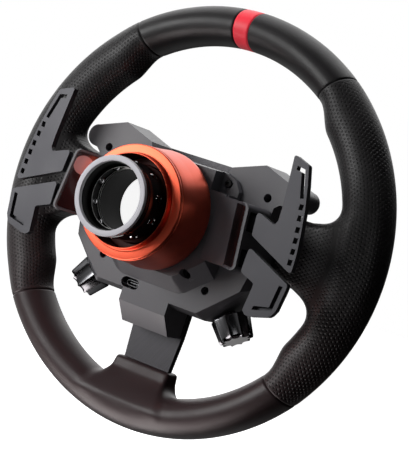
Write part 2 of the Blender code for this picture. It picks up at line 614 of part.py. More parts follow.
def paddles():
    through, blind = PADDLE_FRONT - 2, PADDLE_FRONT + 1
    for word, side in SIDES.items():
        paddle(f"upper_paddle_{word}", side, UPPER_PADDLE, UPPER_SLOT, through, UPPER_ARM, SQUARE_HOLES)
        paddle(f"lower_paddle_{word}", side, LOWER_PADDLE, LOWER_SLOT, blind, LOWER_ARM, [])
        rod(f"paddle_pin_{word}", PIN_RADIUS, -17.2, 17.4, STEEL, (side * PIN_X, PIN_Y, 0), (0, 0, 1), 12)


# ---------------------------------------------------------------- knobs, dials, sticks and buttons


def knob_place(side):
    return (side * KNOB_BASE[0], KNOB_BASE[1], KNOB_BASE[2])


def knob_axis(side):
    return (side * KNOB_AXIS[0], KNOB_AXIS[1], KNOB_AXIS[2])


def fluting(depth):
    """How far the knob's surface lies under its outer radius: rounded valleys between narrow ridges."""
    return lambda angle: depth * max(0.0, math.cos(KNOB_FLUTES * angle)) ** 0.6


def lower_knobs():
    for word, side in SIDES.items():
        place, axis = knob_place(side), knob_axis(side)
        start = -1.6
        profile = [(KNOB_BASE_RADIUS - 0.8, start), (KNOB_BASE_RADIUS, start + 0.8),
                   (KNOB_END_RADIUS, start + KNOB_LENGTH - 0.8), (KNOB_END_RADIUS - 0.9, start + KNOB_LENGTH)]
        flute = fluting(1.3)
        knob = turned(f"lower_knob_{word}", profile, GLOSS_BLACK, place, axis, segments=72, flute=flute)
        join(knob, rod("knob_stem", 2.2, -15, start + 2, at=place, axis=axis, segments=12))
        body = [(4.7, -17.0), (4.7, -13.0), (3.6, -12.9), (3.6, -4.5)]
        encoder = turned(f"knob_encoder_{word}", body, STEEL, place, axis, segments=16)
        cut(encoder, rod("encoder_hole", 2.6, -15.5, 0, at=place, axis=axis, segments=12))


def front_dials():
    for word, side in SIDES.items():
        place = (side * DIAL_PLACE[0], 0, DIAL_PLACE[1])
        profile = [(8.6, -41), (9.5, -40.2), (9.5, -30), (9.0, -29.2), (3.0, -29.1), (3.0, -18)]
        turned(f"front_dial_{word}", profile, GLOSS_BLACK, place, segments=24)


def thumb_sticks():
    for word, side in SIDES.items():
        place = (side * STICK_PLACE[0], 0, STICK_PLACE[1])
        profile = [(3.6, -19.4), (4.8, -18.4), (4.8, -16.2), (2.2, -15), (2.2, -2.0)]
        turned(f"thumb_stick_{word}", profile, GLOSS_BLACK, place, segments=20)
        front, back = STICK_PIVOT - 1.6, STICK_PIVOT + 1.6
        ring = [(3.3, front), (5.2, front), (5.2, back), (3.3, back)]
        turned(f"stick_gimbal_{word}", ring, STEEL, place, hollow=True, segments=20)


def buttons():
    for word, side in SIDES.items():
        for name, x, z, _ in front_controls(side)[:-1]:
            profile = [(BUTTON_RADIUS - 0.9, -31.8), (BUTTON_RADIUS, -31), (BUTTON_RADIUS, -22.7),
                       (BUTTON_RADIUS + 1.2, -22.6), (BUTTON_RADIUS + 1.2, -21.2), (3, -21.1), (3, -17)]
            number = name.split("_")[1]
            turned(f"button_{word}_{number}", profile, GLOSS_BLACK, (x, 0, z), segments=16)


# ---------------------------------------------------------------- screws


def socket_screw(name, x, z, head_radius, head_low, head_high, tip):
    """A cap screw along Y with a hexagon socket in its head."""
    profile = [(1.2, tip), (1.2, head_low), (head_radius, head_low + 0.05), (head_radius, head_high)]
    screw = turned(name, profile, STEEL, (x, 0, z), segments=14)
    socket = {"at": (x, 0, z), "segments": 6}
    cut(screw, rod("hexagon", head_radius * 0.5, head_high - 1.4, head_high + 1, **socket))


def screws():
    for word, side in SIDES.items():
        for level, (x, z) in COVER_SCREWS.items():
            rest = RECESS_FLOOR[level] + GAP
            socket_screw(f"cover_screw_{level}_{word}", side * x, z, 2.5, rest, rest + 3.2, -7.6)
        for level, (x, z) in MODULE_SCREWS.items():
            socket_screw(f"module_screw_{level}_{word}", side * x, z, 2.5, 29.0, 31.4, 22)


spoke_frame()
smooth_wraps()
bottom_wrap()
grip_wraps()
front_casing()
rear_cover()
module_cover()
module_windows()
circuit_boards()
usb_c_socket()
quick_release()
collar_spring()
paddles()
lower_knobs()
front_dials()
thumb_sticks()
buttons()
screws()
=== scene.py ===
"""Looks of the racing wheel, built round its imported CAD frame.

The wheel's axis is Y, with the driver on the -Y side. Shapes are laid out in millimetres from the rim's
middle plane; `world` turns such points into the frame's metres.
"""

import math

import bmesh
import bpy
import numpy as np
from mathutils import Matrix, Quaternion, Vector

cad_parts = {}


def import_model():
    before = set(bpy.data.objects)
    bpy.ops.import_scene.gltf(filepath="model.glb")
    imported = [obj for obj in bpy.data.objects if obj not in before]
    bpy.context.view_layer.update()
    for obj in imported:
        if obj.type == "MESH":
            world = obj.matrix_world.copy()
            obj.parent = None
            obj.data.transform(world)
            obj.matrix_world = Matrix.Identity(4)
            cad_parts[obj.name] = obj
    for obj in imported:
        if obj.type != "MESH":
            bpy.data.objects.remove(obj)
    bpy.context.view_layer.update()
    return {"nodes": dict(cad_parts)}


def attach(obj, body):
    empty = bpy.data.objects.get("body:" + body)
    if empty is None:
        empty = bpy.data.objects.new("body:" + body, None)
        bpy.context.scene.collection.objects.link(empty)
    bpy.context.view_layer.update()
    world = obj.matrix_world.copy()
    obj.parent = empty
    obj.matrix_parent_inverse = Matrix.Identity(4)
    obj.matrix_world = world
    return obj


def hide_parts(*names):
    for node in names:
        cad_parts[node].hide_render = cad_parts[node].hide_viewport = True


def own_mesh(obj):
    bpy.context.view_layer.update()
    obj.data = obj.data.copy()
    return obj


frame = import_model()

MM = 0.001
MOUTH = 106.4  # from the rim's middle plane to the quick release's mouth, which is the frame's origin
SIDES = {"left": -1, "right": 1}
BODY = "wheel_body"

# Rim: outer radius, the radius of its section's middle, and half width and half depth of the leather there.
RIM_OUTER, RIM_MIDDLE = 150.0, 132.0
SMOOTH_HALF = (13.7, 18.0)
GRIP_HALF = (17.6, 17.6)
# Degrees from the horizontal where the grips end, and over how many they swell from the smooth rim.
GRIP_TOP, GRIP_BOTTOM, GRIP_BLEND = 56.0, -40.0, 11.0
STRIPE, SEAM = 2.6, 0.01  # degrees: half of the red mark, and the leather's setback from each seam
SEAM_TILT = 9.0  # degrees that the grips' seams lean, their inner ends further round the rim
SEAM_LOOPS = (1.6, 1.1, 0.75, 0.45, 0.2, 0.0)  # edge loops' distances from a seam, ending with its cut

PERFORATION = 2.7  # between the holes of a row

# Leather over the horizontal spokes: |x|, top, bottom and half depth of its stations.
SPOKE_STATIONS = ((72.6, 23.5, -21.0, 9.0), (92.0, 24.0, -21.5, 10.0), (106.0, 27.0, -27.0, 12.0),
                  (122.0, 31.0, -34.0, 13.5))
# Leather pocket round the bottom spoke: -z, half width, front and back of its stations.
POCKET_STATIONS = ((104.3, 22.3, -13.0, 0.6), (112.0, 22.8, -14.0, 3.0), (118.0, 24.5, -14.5, 7.0),
                   (131.0, 31.0, -15.0, 15.0))

# Quick release: its locking balls, the radius and depth of their circle, and their windows' radius, then
# the spring's ends, the radius of its coil and of its wire, and its turns.
BALL_COUNT, BALL_RADIUS, BALL_CIRCLE, BALL_DEPTH, WINDOW_RADIUS = 10, 2.7, 23.5, 88.0, 3.05
SPRING_LOW, SPRING_HIGH, SPRING_RADIUS, SPRING_WIRE, SPRING_TURNS = 43.0, 56.8, 33.0, 0.78, 4.5

HEXAGON_ACROSS, SCREW_SHAFT = 2.4, 1.2  # across the flats of a screw's recess, and its shaft's radius

# Lower knobs: base and axis of the right one, flutes, the height that the end face lies above, and the
# radius that the flutes lie beyond. Front controls: their places on the face plate.
KNOB_BASE, KNOB_AXIS = (56.3, 3.7, -54.9), (0.623, 0.046, -0.78)
KNOB_FLUTES, KNOB_END_FACE, KNOB_LEAST_FLUTED = 10, 15.0, 9.0
BUTTON_ANGLES, BUTTON_ELLIPSE = (62.0, 33.0, 4.0, -26.0, -58.0), (56.0, 33.0)
DIAL_X, STICK_X, STICK_Z = 31.0, 73.0, 36.5

# In the frame's metres: the round mark on the windows, and the floor.
SPOT_CENTRE, SPOT_RADIUS, SPOT_EDGE = (0.0640, -0.0555, 0.0125), 0.0066, 0.0002
FLOOR_RADIUS, FLOOR_HEIGHT = 6, -0.3

# Light that reflections see: where it is centred, its full and zero angles in degrees, and its strength.
WORLD_LOBES = (
    ((0.45, -0.55, 0.70), 40, 46, 1.5),
    ((0.93, -0.33, 0.10), 22, 46, 0.95),
    ((0.30, -0.55, -0.80), 20, 38, 0.25),
    ((0.55, 0.84, 0.20), 20, 50, 0.25),
    ((-0.60, 0.75, 0.12), 5, 12, 1.6),
)
DIFFUSE_FILL = 0.05
# Name, place in metres, diameter, power, colour and whether reflections see it.
LIGHTS = (
    ("key", (0.70, 0.82, 0.14), 0.65, 7, (1, 1, 1), True),
    ("top", (0.25, 0.05, 1.1), 0.5, 5, (1, 1, 1), False),
    ("low_glow", (0.35, 0.2, -0.9), 1.0, 12, (1, 0.94, 0.93), True),
    ("driver_side", (0.9, -1.35, 0.6), 0.9, 14, (1, 1, 1), False),
)
LIGHT_TARGET = (0, -0.05, 0)
CAMERA_PLACE, CAMERA_LENS, CAMERA_SENSOR = (-0.5465, 0.8338, 0.0184), 126.47, 36
CAMERA_AZIMUTH, CAMERA_ELEVATION, CAMERA_ROLL = 209.63, 0.995, 18.30


def world(points):
    """Millimetres from the rim's middle plane to metres in the frame."""
    return (np.asarray(points, float) + (0, -MOUTH, 0)) * MM


# ---------------------------------------------------------------- materials


def link(tree, a, b):
    tree.links.new(a, b)


def node(tree, kind, **settings):
    made = tree.nodes.new(kind)
    for key, value in settings.items():
        setattr(made, key, value)
    return made


def object_coordinates(tree):
    return node(tree, "ShaderNodeTexCoord").outputs["Object"]


def noise(tree, vector, scale, detail=3.0, roughness=0.5):
    made = node(tree, "ShaderNodeTexNoise")
    made.inputs["Scale"].default_value = scale
    made.inputs["Detail"].default_value = detail
    made.inputs["Roughness"].default_value = roughness
    link(tree, vector, made.inputs["Vector"])
    return made.outputs["Fac"]


def spread(tree, value, low, high, from_low=0.3, from_high=0.7):
    """A value mapped from its usual range onto low to high."""
    made = node(tree, "ShaderNodeMapRange")
    for name, number in (("From Min", from_low), ("From Max", from_high), ("To Min", low), ("To Max", high)):
        made.inputs[name].default_value = number
    link(tree, value, made.inputs["Value"])
    return made.outputs["Result"]


def mixed(tree, factor, first, second):
    """Between two colours by a factor; either colour is a tuple or a socket."""
    made = node(tree, "ShaderNodeMix", data_type="RGBA")
    link(tree, factor, made.inputs["Factor"])
    for name, colour in (("A", first), ("B", second)):
        socket = [s for s in made.inputs if s.name == name and s.type == "RGBA"][0]
        if isinstance(colour, tuple):
            socket.default_value = (*colour, 1)
        else:
            link(tree, colour, socket)
    return [s for s in made.outputs if s.type == "RGBA"][0]


def calculated(tree, operation, *values):
    """A Math node's result from sockets and numbers."""
    made = node(tree, "ShaderNodeMath", operation=operation)
    for socket, value in zip(made.inputs, values):
        if isinstance(value, float):
            socket.default_value = value
        else:
            link(tree, value, socket)
    return made.outputs["Value"]


def bump(tree, height, distance, strength=1.0, under=None):
    made = node(tree, "ShaderNodeBump")
    made.inputs["Distance"].default_value = distance
    made.inputs["Strength"].default_value = strength
    link(tree, height, made.inputs["Height"])
    if under is not None:
        link(tree, under, made.inputs["Normal"])
    return made.outputs["Normal"]


def new_material(name, **constants):
    """A Principled material; constants are given by socket name, with _ for a space."""
    made = bpy.data.materials.new(name)
    made.use_nodes = True
    shader = made.node_tree.nodes["Principled BSDF"]
    for key, value in constants.items():
        shader.inputs[key.replace("_", " ")].default_value = value
    return made, made.node_tree, shader


def surface(name, colour, roughness, grain=900.0, depth=0.00002, vary=0.12, wear=0.05, **constants):
    """A moulded or machined surface: slight colour and gloss variation over a fine grain."""
    made, tree, shader = new_material(name, **constants)
    coords = object_coordinates(tree)
    soft = noise(tree, coords, 25, 4)
    fine = noise(tree, coords, grain, 3)
    dark = tuple(c * (1 - vary) for c in colour)
    light = tuple(min(1.0, c * (1 + vary)) for c in colour)
    link(tree, mixed(tree, spread(tree, soft, 0, 1), dark, light), shader.inputs["Base Color"])
    link(tree, spread(tree, soft, roughness - wear, roughness + wear), shader.inputs["Roughness"])
    link(tree, bump(tree, fine, depth), shader.inputs["Normal"])
    return made


def brushed(name, colour, roughness, turn, metallic, vary=0.25):
    """Brushed metal: long fine scratches, made by turning noise about Y and squeezing it across them."""
    made, tree, shader = new_material(name, Metallic=metallic)
    turned = node(tree, "ShaderNodeMapping")
    turned.inputs["Rotation"].default_value = (0, math.radians(turn), 0)
    mapping = node(tree, "ShaderNodeMapping")
    mapping.inputs["Scale"].default_value = (1, 1, 60)
    link(tree, object_coordinates(tree), turned.inputs["Vector"])
    link(tree, turned.outputs["Vector"], mapping.inputs["Vector"])
    lines = noise(tree, mapping.outputs["Vector"], 40, 4, 0.65)
    dark = tuple(c * (1 - vary) for c in colour)
    light = tuple(min(1.0, c * (1 + vary)) for c in colour)
    link(tree, mixed(tree, spread(tree, lines, 0, 1), dark, light), shader.inputs["Base Color"])
    link(tree, spread(tree, lines, roughness - 0.08, roughness + 0.1), shader.inputs["Roughness"])
    link(tree, bump(tree, lines, 0.00002), shader.inputs["Normal"])
    return made


def perforation(tree):
    """0 in the holes of perforated leather and 1 between them, on a hexagonal grid of the leather's own
    coordinates. The third coordinate is the distance in mm from where the holes stop."""
    attribute = node(tree, "ShaderNodeAttribute", attribute_name="leather")
    distances = []
    for offset in (0.0, 0.5):
        placed = node(tree, "ShaderNodeVectorMath", operation="MULTIPLY_ADD")
        link(tree, attribute.outputs["Vector"], placed.inputs[0])
        placed.inputs[1].default_value = (1 / PERFORATION, 1 / (PERFORATION * math.sqrt(3)), 0)
        placed.inputs[2].default_value = (offset, offset, 0)
        cell = node(tree, "ShaderNodeVectorMath", operation="FRACTION")
        link(tree, placed.outputs["Vector"], cell.inputs[0])
        centred = node(tree, "ShaderNodeVectorMath", operation="MULTIPLY_ADD")
        link(tree, cell.outputs["Vector"], centred.inputs[0])
        centred.inputs[1].default_value = (1, math.sqrt(3), 0)
        centred.inputs[2].default_value = (-0.5, -0.5 * math.sqrt(3), 0)
        length = node(tree, "ShaderNodeVectorMath", operation="LENGTH")
        link(tree, centred.outputs["Vector"], length.inputs[0])
        distances.append(length.outputs["Value"])
    between = spread(tree, calculated(tree, "MINIMUM", *distances), 0, 1, 0.15, 0.28)
    parts = node(tree, "ShaderNodeSeparateXYZ")
    link(tree, attribute.outputs["Vector"], parts.inputs[0])
    plain = spread(tree, parts.outputs["Z"], 1, 0, 1.6, 2.6)
    return calculated(tree, "MAXIMUM", between, plain)


def leather(name, colour, roughness, holes=False, **constants):
    """Grained leather: pebbled cells over soft creases, with slight shine differences and optional
    perforation.
    Painted warm light from below makes it warmer and lighter in the wheel's lower half; the holes are painted
    shade."""
    made, tree, shader = new_material(name, **constants)
    coords = object_coordinates(tree)
    cells = node(tree, "ShaderNodeTexVoronoi", feature="DISTANCE_TO_EDGE")
    cells.inputs["Scale"].default_value = 1100
    link(tree, coords, cells.inputs["Vector"])
    pebble = spread(tree, cells.outputs["Distance"], 0, 1, 0.0, 0.25)
    soft = noise(tree, coords, 30, 5)
    dark, light = tuple(c * 0.8 for c in colour), tuple(c * 1.25 for c in colour)
    tint = mixed(tree, spread(tree, soft, 0, 1), dark, light)
    normal = bump(tree, soft, 0.0004, 0.35)
    normal = bump(tree, pebble, 0.00005, 0.6, normal)
    # Painted warm light from below: towards the bottom of the wheel the base colour turns warmer and lighter.
    parts = node(tree, "ShaderNodeSeparateXYZ")
    link(tree, coords, parts.inputs[0])
    low = spread(tree, parts.outputs["Z"], 1, 0, -0.12, 0.0)
    tint = mixed(tree, low, tint, tuple(c * k for c, k in zip(colour, (3.1, 1.85, 1.85))))
    if holes:
        between = perforation(tree)
        # Painted shade: the holes are a quarter as bright as the leather, standing for the shadow inside
        # them.
        tint = mixed(tree, between, tuple(c * 0.25 for c in colour), tint)
        normal = bump(tree, between, 0.0005, 1.0, normal)
    link(tree, tint, shader.inputs["Base Color"])
    link(tree, spread(tree, soft, roughness - 0.06, roughness + 0.06), shader.inputs["Roughness"])
    link(tree, normal, shader.inputs["Normal"])
    return made


def window_material(name, low, high):
    """Dark polished panel between two colours, with a pale round mark, under a clear coat. The two colours
    hold painted reflection and painted shade.
    """
    made, tree, shader = new_material(name, Roughness=0.12, Coat_Weight=0.6, Coat_Roughness=0.03)
    coords = object_coordinates(tree)
    away = node(tree, "ShaderNodeVectorMath", operation="DISTANCE")
    link(tree, coords, away.inputs[0])
    away.inputs[1].default_value = SPOT_CENTRE
    inside = spread(tree, away.outputs["Value"], 1, 0, SPOT_RADIUS - SPOT_EDGE, SPOT_RADIUS + SPOT_EDGE)
    cloudy = noise(tree, coords, 60, 2)
    painted_reflection = mixed(tree, spread(tree, cloudy, 0, 1), low, high)
    link(tree, mixed(tree, inside, painted_reflection, (0.85, 0.45, 0.44)), shader.inputs["Base Color"])
    return made


LEATHER = leather("black_leather", (0.016, 0.0145, 0.0155), 0.42, Specular_IOR_Level=0.5)
GRIP_LEATHER = leather("perforated_leather", (0.016, 0.0145, 0.0155), 0.45, holes=True,
                       Specular_IOR_Level=0.5)
# The red stripe glows a little: its emission is painted light that brightens it.
RED_LEATHER = leather("red_leather", (0.95, 0.045, 0.07), 0.4, Emission_Color=(0.9, 0.05, 0.08, 1),
                      Emission_Strength=0.2)
PLASTIC = surface("dark_grey_plastic", (0.125, 0.122, 0.135), 0.42, grain=1400, depth=0.00003)
PADDLE = surface("paddle_aluminium", (0.055, 0.054, 0.062), 0.42, grain=1800, depth=0.00001, Metallic=0.35)
FRAME_METAL = brushed("brushed_frame", (0.055, 0.053, 0.058), 0.4, turn=-60, metallic=0.6)
FACE_METAL = brushed("brushed_faceplate", (0.05, 0.05, 0.054), 0.38, turn=0, metallic=0.7)
GLOSS_BLACK = surface("gloss_black", (0.012, 0.012, 0.013), 0.12, grain=300, depth=0.000004, wear=0.03,
                      Coat_Weight=0.5, Coat_Roughness=0.05)
WIRE = surface("polished_wire", (0.9, 0.9, 0.9), 0.3, depth=0.000002, vary=0.02, Metallic=1.0)
# Painted shade: a darker, matt copy of the orange for the collar's inside, the hub and the clamp ring, which
# lie in shadow.
ORANGE_PAINTED_SHADE = surface("orange_anodised_painted_shade", (0.10, 0.010, 0.005), 0.6, grain=1600, depth=0.00001)
# Painted shade: near black with little shine, for the sleeve's bore, the ball cage's washers and the knobs'
# stems, where shadow falls.
BLACK_PAINTED_SHADE = surface("painted_shade_black", (0.003, 0.003, 0.003), 0.6, vary=0.02, Specular_IOR_Level=0.1)
KNOB_BLACK = surface("knob_black_chrome", (0.20, 0.20, 0.21), 0.2, grain=1500, depth=0.000001, vary=0.02,
                     wear=0.01, Metallic=1.0)
# The knobs' end faces glow a little: the emission is painted light, standing for light from below.
KNOB_FACE = surface("knob_end_face", (0.55, 0.55, 0.56), 0.45, grain=1500, Emission_Color=(1, 1, 1, 1),
                    Emission_Strength=0.09)
SOCKET_STEEL = surface("socket_steel", (0.10, 0.10, 0.105), 0.35, Metallic=0.8)
ORANGE = surface("orange_anodised", (0.82, 0.12, 0.06), 0.38, grain=1600, depth=0.000004, wear=0.03,
                 Metallic=1.0, Coat_Weight=0.12, Coat_Roughness=0.3)
RING_GREY = surface("matte_grey_ring", (0.52, 0.51, 0.545), 0.5, grain=1500, depth=0.00001, Metallic=0.3)
STEEL = surface("bright_steel", (0.6, 0.6, 0.62), 0.18, grain=900, depth=0.000004, vary=0.06, wear=0.04,
                Metallic=1.0)
# Black screws, darkened further to near black as painted shade of the holes and pockets they sit in.
SCREW_BLACK_PAINTED_SHADE = surface("blackened_screw_painted_shade", (0.008, 0.008, 0.008), 0.5, grain=900)
CIRCUIT = surface("circuit_board", (0.015, 0.09, 0.04), 0.45)
# The coupling disc glows: its emission is painted light that keeps it white.
PALE = surface("pale_disc", (0.9, 0.9, 0.9), 0.4, vary=0.02, Emission_Color=(1, 1, 1, 1),
               Emission_Strength=0.9)
PALE_MARK = surface("pale_mark", (0.8, 0.8, 0.8), 0.5, vary=0.04)
RUBBER = surface("black_rubber", (0.02, 0.02, 0.021), 0.6, grain=700, depth=0.00004)
# Painted reflection and shade: the +X ("right") window is tinted red as a reflection of the orange collar,
# and the -X ("left") one is darker as painted shade.
WINDOWS = {"right": window_material("dark_window", (0.040, 0.014, 0.015), (0.060, 0.022, 0.023)),
           "left": window_material("dark_window_left", (0.012, 0.008, 0.008), (0.022, 0.011, 0.012))}


# ---------------------------------------------------------------- making pieces


def new_piece(name, mesh, material, body=BODY, nodes=()):
    """An object from a mesh already in the frame's metres, riding on a body and standing for CAD nodes."""
    piece = bpy.data.objects.new(name, mesh)
    bpy.context.scene.collection.objects.link(piece)
    if not mesh.materials:
        mesh.materials.append(material)
    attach(piece, body)
    if nodes:
        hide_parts(*nodes)
    return piece


def smooth(mesh, angle=35):
    mesh.shade_smooth()
    mesh.set_sharp_from_angle(angle=math.radians(angle))
    return mesh


def rings_mesh(name, rings, closed=False, angle=35):
    """A mesh through rings of points in metres, each with the same count; open ends get flat caps."""
    rings = np.asarray(rings, float)
    count, around = rings.shape[:2]
    faces = []
    for i in range(count if closed else count - 1):
        for j in range(around):
            k, n = (j + 1) % around, (i + 1) % count
            faces.append((i * around + j, i * around + k, n * around + k, n * around + j))
    if not closed:
        faces.append(tuple(range(around)))
        faces.append(tuple(range((count - 1) * around, count * around)))
    mesh = bpy.data.meshes.new(name)
    mesh.from_pydata(rings.reshape(-1, 3).tolist(), [], faces)
    bm = bmesh.new()
    bm.from_mesh(mesh)
    bmesh.ops.remove_doubles(bm, verts=bm.verts, dist=1e-7)
    bmesh.ops.recalc_face_normals(bm, faces=bm.faces)
    bm.to_mesh(mesh)
    bm.free()
    return smooth(mesh, angle)


def soften(profile, radius=0.4, closed=False, steps=3):
    """The profile with each corner replaced by a short arc, so that edges are rounded."""
    made = []
    count = len(profile)
    for i, point in enumerate(profile):
        here = Vector(point)
        if not closed and i in (0, count - 1):
            made.append(tuple(here))
            continue
        before, after = Vector(profile[i - 1]), Vector(profile[(i + 1) % count])
        reach = min(radius, (before - here).length * 0.45, (after - here).length * 0.45)
        start, end = here + (before - here).normalized() * reach, here + (after - here).normalized() * reach
        for step in range(steps + 1):
            t = step / steps
            made.append(tuple(start * (1 - t) ** 2 + here * 2 * t * (1 - t) + end * t * t))
    return made


def lathe(name, profile, at=(0, 0, 0), axis=(0, 1, 0), around=128, hollow=False, flute=None, angle=35):
    """A turned mesh from (radius, height) points in mm; flute(angle, radius, height) comes off the radius."""
    turn = Vector((0, 0, 1)).rotation_difference(Vector(axis))
    basis = np.array(turn.to_matrix())
    angles = np.arange(around) * 2 * math.pi / around
    rings = []
    for radius, height in profile:
        reach = np.full(around, float(radius))
        if flute:
            reach = reach - np.array([flute(a, radius, height) for a in angles])
        ring = np.stack([reach * np.cos(angles), reach * np.sin(angles), np.full(around, float(height))], 1)
        rings.append(world(ring @ basis.T + np.array(at, float)))
    return rings_mesh(name, rings, closed=hollow, angle=angle)


def evaluated_copy(piece):
    """The piece's mesh with its modifiers applied."""
    graph = bpy.context.evaluated_depsgraph_get()
    return bpy.data.meshes.new_from_object(piece.evaluated_get(graph))


def loose_object(mesh):
    made = bpy.data.objects.new("scratch_" + mesh.name, mesh)
    bpy.context.scene.collection.objects.link(made)
    return made


def carved(mesh, cutters, angle):
    """The mesh with cutter meshes taken away."""
    base = loose_object(mesh)
    tools = [loose_object(cutter) for cutter in cutters]
    for tool in tools:
        modifier = base.modifiers.new("carve", "BOOLEAN")
        modifier.operation = "DIFFERENCE"
        modifier.object = tool
    made = evaluated_copy(base)
    for scratch in [base, *tools]:
        bpy.data.objects.remove(scratch)
    return smooth(made, angle)


# ---------------------------------------------------------------- leather rim


def smooth_min(a, b, k):
    h = np.maximum(k - np.abs(a - b), 0) / k
    return np.minimum(a, b) - h * h * k / 4


def rim_half(angle):
    """Half width and half depth at angles in degrees from the horizontal."""
    share = np.clip(np.minimum(GRIP_TOP - angle, angle - GRIP_BOTTOM) / GRIP_BLEND, 0, 1)
    share = share * share * (3 - 2 * share)
    width = SMOOTH_HALF[0] + (GRIP_HALF[0] - SMOOTH_HALF[0]) * share
    depth = SMOOTH_HALF[1] + (GRIP_HALF[1] - SMOOTH_HALF[1]) * share
    return width, depth


def rim_field(p):
    """Roughly the distance outside the bare rim, in mm."""
    rho = np.hypot(p[:, 0], p[:, 2])
    width, depth = rim_half(np.degrees(np.arcsin(np.clip(p[:, 2] / np.maximum(rho, 1e-6), -1, 1))))
    share = np.sqrt(((rho - RIM_OUTER + width) / width) ** 2 + (p[:, 1] / depth) ** 2)
    return (share - 1) * np.minimum(width, depth)


def box_field(p, low, high, radius):
    """Distance outside a rounded box whose limits may differ from point to point."""
    centre, half = (low + high) / 2, (high - low) / 2 - radius
    q = np.abs(p - centre) - half
    return np.linalg.norm(np.maximum(q, 0), axis=1) + np.minimum(q.max(1), 0) - radius


def spoke_field(p):
    """Distance outside the leather over the horizontal spokes, which thickens towards the rim."""
    x = np.abs(p[:, 0])
    station, *limits = zip(*SPOKE_STATIONS)
    high, low, depth = (np.interp(x, station, values) for values in limits)
    lows = np.stack([np.full_like(x, station[0]), -depth - 3, low], 1)
    highs = np.stack([np.full_like(x, 128.0), depth - 1, high], 1)
    return box_field(np.stack([x, p[:, 1], p[:, 2]], 1), lows, highs, 5.0)


def pocket_field(p):
    """Distance outside the leather pocket that the bottom spoke goes into."""
    z = -p[:, 2]
    station, *limits = zip(*POCKET_STATIONS)
    half, front, back = (np.interp(z, station, values) for values in limits)
    lows = np.stack([-half, front, np.full_like(z, -station[-1])], 1)
    highs = np.stack([half, back, np.full_like(z, -station[0])], 1)
    return box_field(p, lows, highs, 2.2)


def grip_field(p):
    return smooth_min(rim_field(p), spoke_field(p), 14.0)


def bottom_field(p):
    return smooth_min(rim_field(p), pocket_field(p), 9.0)


def onto_surface(points, field, rounds=5, step=0.05):
    """Points moved onto the zero surface of a field."""
    for _ in range(rounds):
        value = field(points)
        slope = np.stack([
            (field(points + offset) - field(points - offset)) / (2 * step)
            for offset in np.eye(3) * step
        ], 1)
        size = np.maximum((slope ** 2).sum(1), 0.05)
        points = points - np.clip(value / size, -4, 4)[:, None] * slope
    return points


def sweep_rings(start, end, around=48, step=2.0):
    """Rings of the bare rim's section between two angles, in metres."""
    rings = []
    for angle in np.linspace(start, end, max(3, round(abs(end - start) / step) + 1)):
        from_side = math.degrees(math.asin(math.sin(math.radians(angle))))
        width, depth = rim_half(np.array([from_side]))
        turn = np.arange(around) * 2 * math.pi / around
        reach = RIM_OUTER - width + width * np.cos(turn)
        a = math.radians(angle)
        rings.append(world(np.stack([reach * math.cos(a), depth * np.sin(turn), reach * math.sin(a)], 1)))
    return rings


def remeshed(meshes, voxel):
    """One closed mesh round overlapping closed meshes."""
    bm = bmesh.new()
    for mesh in meshes:
        bm.from_mesh(mesh)
    joined = bpy.data.meshes.new("joined")
    bm.to_mesh(joined)
    bm.free()
    base = loose_object(joined)
    modifier = base.modifiers.new("remesh", "REMESH")
    modifier.mode = "VOXEL"
    modifier.voxel_size = voxel * MM
    made = evaluated_copy(base)
    bpy.data.objects.remove(base)
    return made


def seam_plane(angle, sign, offset=0.0):
    """A seam's middle point in mm and its outward normal; the seams of the grips lean."""
    a = math.radians(angle)
    radial, along = np.array((math.cos(a), 0, math.sin(a))), np.array((-math.sin(a), 0, math.cos(a)))
    lean = math.radians(SEAM_TILT) * (math.copysign(1, math.sin(2 * a)) if abs(math.sin(2 * a)) > 0.5 else 0)
    normal = (along * math.cos(lean) + radial * math.sin(lean)) * sign
    return radial * RIM_MIDDLE - normal * offset, normal


def trimmed(mesh, limits):
    """Cuts a leather section at its two seams, with edge loops beside each so that its edge can turn in."""
    bm = bmesh.new()
    bm.from_mesh(mesh)
    for angle, sign in zip(limits, (-1, 1)):
        for offset in SEAM_LOOPS:
            point, normal = seam_plane(angle, sign, offset)
            radial = Vector((math.cos(math.radians(angle)), 0, math.sin(math.radians(angle))))
            # only the half of the wheel round this seam, so that the plane doesn't cut the far side
            near = [v for v in bm.verts[:] if v.co.dot(radial) > 0]
            chosen = set(near)
            edges = [e for e in bm.edges if e.verts[0] in chosen and e.verts[1] in chosen]
            faces = [f for f in bm.faces if all(v in chosen for v in f.verts)]
            bmesh.ops.bisect_plane(bm, geom=near + edges + faces, dist=1e-7, plane_co=world(point).tolist(),
                                   plane_no=normal.tolist(), clear_outer=offset == 0.0)
        rim = [e for e in bm.edges if e.is_boundary]
        bmesh.ops.holes_fill(bm, edges=rim, sides=0)
    bmesh.ops.recalc_face_normals(bm, faces=bm.faces)
    made = bpy.data.meshes.new(mesh.name)
    bm.to_mesh(made)
    bm.free()
    return made


def mesh_points(mesh):
    flat = np.zeros(len(mesh.vertices) * 3)
    mesh.vertices.foreach_get("co", flat)
    return flat.reshape(-1, 3) / MM + (0, MOUTH, 0)


def set_points(mesh, points):
    mesh.vertices.foreach_set("co", world(points).ravel())
    mesh.update()


def distance_to_seams(points, limits):
    """The distance in mm from the nearer of a section's two seams."""
    nearest = np.full(len(points), 1e3)
    for angle, sign in zip(limits, (-1, 1)):
        point, normal = seam_plane(angle, sign)
        same_half = points @ np.array((math.cos(math.radians(angle)), 0, math.sin(math.radians(angle)))) > 0
        away = np.abs((points - point) @ normal)
        nearest = np.where(same_half, np.minimum(nearest, away), nearest)
    return nearest


